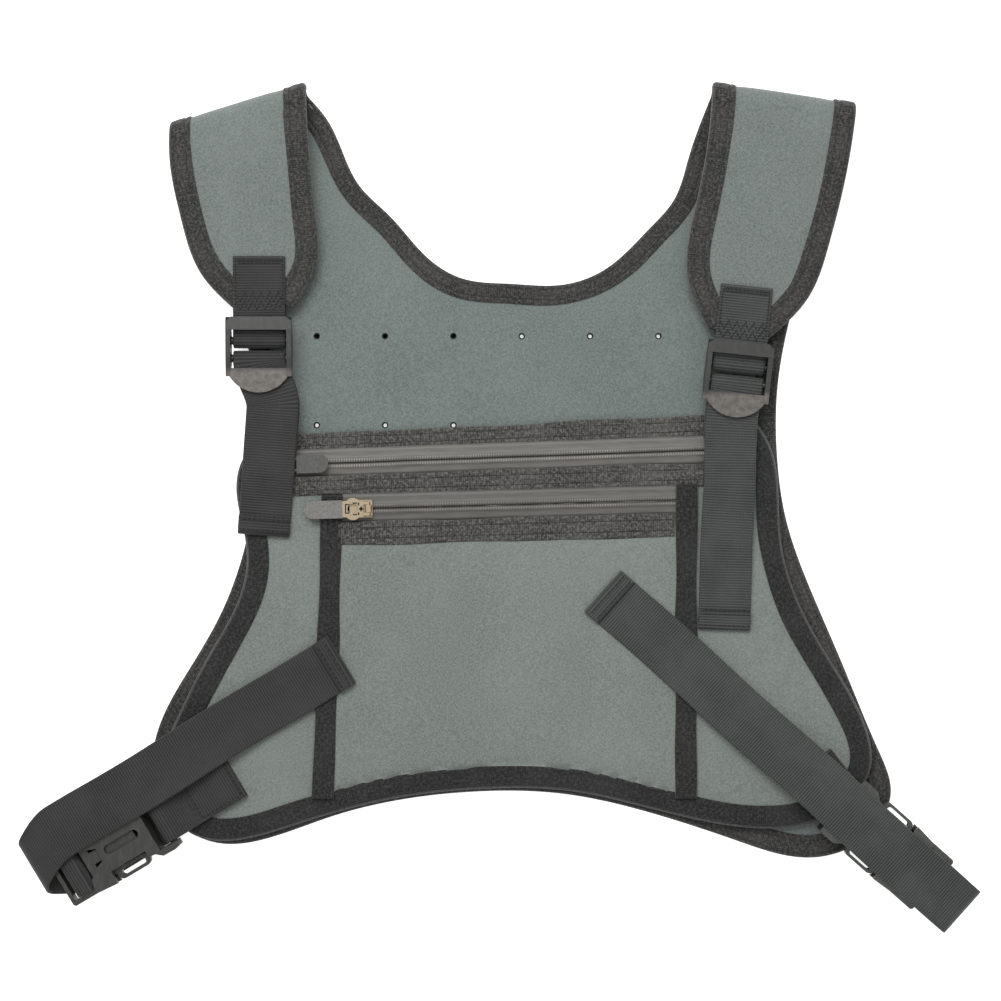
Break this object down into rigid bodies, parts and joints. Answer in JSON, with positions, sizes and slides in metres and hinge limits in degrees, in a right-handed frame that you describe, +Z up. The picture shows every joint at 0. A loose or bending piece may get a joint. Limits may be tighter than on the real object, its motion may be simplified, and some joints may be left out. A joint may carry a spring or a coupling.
{
  "type": "safety harness vest",
  "caption": "Soft sport harness vest laid flat: bound back panel, folded shoulder straps with ladder locks, zipped front pockets and side-release waist buckles on webbing.",
  "frame": {"origin": "on the underside of the back panel, under the middle of the laid vest", "axes": "+X across the vest from the left strap of the view to the right one, +Y from the hem to the shoulder folds, +Z up out of the front"},
  "size_m": [0.4633, 0.4028, 0.0217],
  "materials": {
    "neoprene": "knitted jersey over foam rubber",
    "binding": "ribbed binding tape",
    "webbing": "cross-ribbed webbing",
    "zip_tape": "woven tape",
    "coil": "nylon coil",
    "gilt_metal": "plated",
    "rubber_tab": "moulded",
    "buckle_plastic": "moulded satin",
    "lock_plastic": "moulded satin"
  },
  "bodies": {
    "root": {"back_panel": "neoprene", "back_edge_binding": "binding", "neck_binding": "binding", "left_shoulder_strap": "neoprene", "right_shoulder_strap": "neoprene", "left_strap_outer_binding": "binding", "left_strap_inner_binding": "binding", "right_strap_outer_binding": "binding", "right_strap_inner_binding": "binding", "front_lining": "neoprene", "front_panel": "neoprene", "front_edge_binding": "binding", "top_binding": "binding", "middle_binding": "binding", "centre_pocket": "neoprene", "left_pocket_binding": "binding", "right_pocket_binding": "binding", "lower_binding": "binding", "upper_zip_tape": "zip_tape", "lower_zip_tape": "zip_tape", "upper_zip_coil": "coil", "lower_zip_coil": "coil", "left_strap_webbing": "webbing", "right_strap_webbing": "webbing", "left_chest_webbing": "webbing", "right_chest_webbing": "webbing", "left_chest_tail": "webbing", "right_chest_tail": "webbing", "left_corner_webbing": "webbing", "right_corner_webbing": "webbing", "left_waist_webbing": "webbing", "right_waist_webbing": "webbing", "left_waist_tail": "webbing", "right_waist_tail": "webbing", "left_buckle_socket": "buckle_plastic", "right_buckle_socket": "buckle_plastic"},
    "upper_slider": {"upper_zip_slider": "gilt_metal"},
    "upper_pull": {"upper_zip_pull": "rubber_tab"},
    "lower_slider": {"lower_zip_slider": "gilt_metal"},
    "lower_pull": {"lower_zip_pull": "gilt_metal", "lower_pull_tab": "rubber_tab"},
    "left_lock": {"left_ladder_lock": "lock_plastic", "left_chest_webbing_turn": "webbing"},
    "right_lock": {"right_ladder_lock": "lock_plastic", "right_chest_webbing_turn": "webbing"},
    "left_plug": {"left_buckle_plug": "buckle_plastic", "left_waist_webbing_turn": "webbing"},
    "left_arm_upper": {"left_buckle_arm_upper": "buckle_plastic"},
    "left_arm_lower": {"left_buckle_arm_lower": "buckle_plastic"},
    "right_plug": {"right_buckle_plug": "buckle_plastic", "right_waist_webbing_turn": "webbing"},
    "right_arm_upper": {"right_buckle_arm_upper": "buckle_plastic"},
    "right_arm_lower": {"right_buckle_arm_lower": "buckle_plastic"}
  },
  "joints": [
    {"name": "upper_zip_slide", "type": "slide", "parent": "root", "child": "upper_slider", "axis": [0.9994, 0.0349, 0], "range_m": [0, 0.176]},
    {"name": "upper_pull_lift", "type": "hinge", "parent": "upper_slider", "child": "upper_pull", "pos_m": [-0.1, 0.01981, 0.0103], "axis": [0.0349, -0.9994, 0], "range_deg": [0, 16]},
    {"name": "lower_zip_slide", "type": "slide", "parent": "root", "child": "lower_slider", "axis": [0.9997, 0.0262, 0], "range_m": [0, 0.14]},
    {"name": "lower_pull_lift", "type": "hinge", "parent": "lower_slider", "child": "lower_pull", "pos_m": [-0.063, -0.00125, 0.0133], "axis": [-0.0262, 0.9997, 0], "range_deg": [0, 150]},
    {"name": "left_lock_tilt", "type": "hinge", "parent": "root", "child": "left_lock", "pos_m": [-0.1153, 0.0793, 0.0107], "axis": [-1, 0, 0], "range_deg": [0, 10]},
    {"name": "right_lock_tilt", "type": "hinge", "parent": "root", "child": "right_lock", "pos_m": [0.1142, 0.0674, 0.0107], "axis": [-0.9945, 0.1045, 0], "range_deg": [0, 10]},
    {"name": "left_buckle_release", "type": "slide", "parent": "root", "child": "left_plug", "axis": [-0.8551, -0.5138, -0.0698], "range_m": [0, 0.033]},
    {"name": "left_arm_upper_squeeze", "type": "hinge", "parent": "left_plug", "child": "left_arm_upper", "pos_m": [-0.18911, -0.17791, 0.0119], "axis": [-0.0598, -0.0359, 0.9976], "range_deg": [0, 8], "stiffness_Nm_per_rad": 0.1},
    {"name": "left_arm_lower_squeeze", "type": "hinge", "parent": "left_plug", "child": "left_arm_lower", "pos_m": [-0.20045, -0.15905, 0.0119], "axis": [0.0598, 0.0359, -0.9976], "range_deg": [0, 8], "stiffness_Nm_per_rad": 0.1},
    {"name": "right_buckle_release", "type": "slide", "parent": "root", "child": "right_plug", "axis": [0.7471, -0.661, -0.0698], "range_m": [0, 0.033]},
    {"name": "right_arm_upper_squeeze", "type": "hinge", "parent": "right_plug", "child": "right_arm_upper", "pos_m": [0.19987, -0.1606, 0.0119], "axis": [0.0522, -0.0462, 0.9976], "range_deg": [0, 8], "stiffness_Nm_per_rad": 0.1},
    {"name": "right_arm_lower_squeeze", "type": "hinge", "parent": "right_plug", "child": "right_arm_lower", "pos_m": [0.18529, -0.17708, 0.0119], "axis": [-0.0522, 0.0462, -0.9976], "range_deg": [0, 8], "stiffness_Nm_per_rad": 0.1}
  ]
}
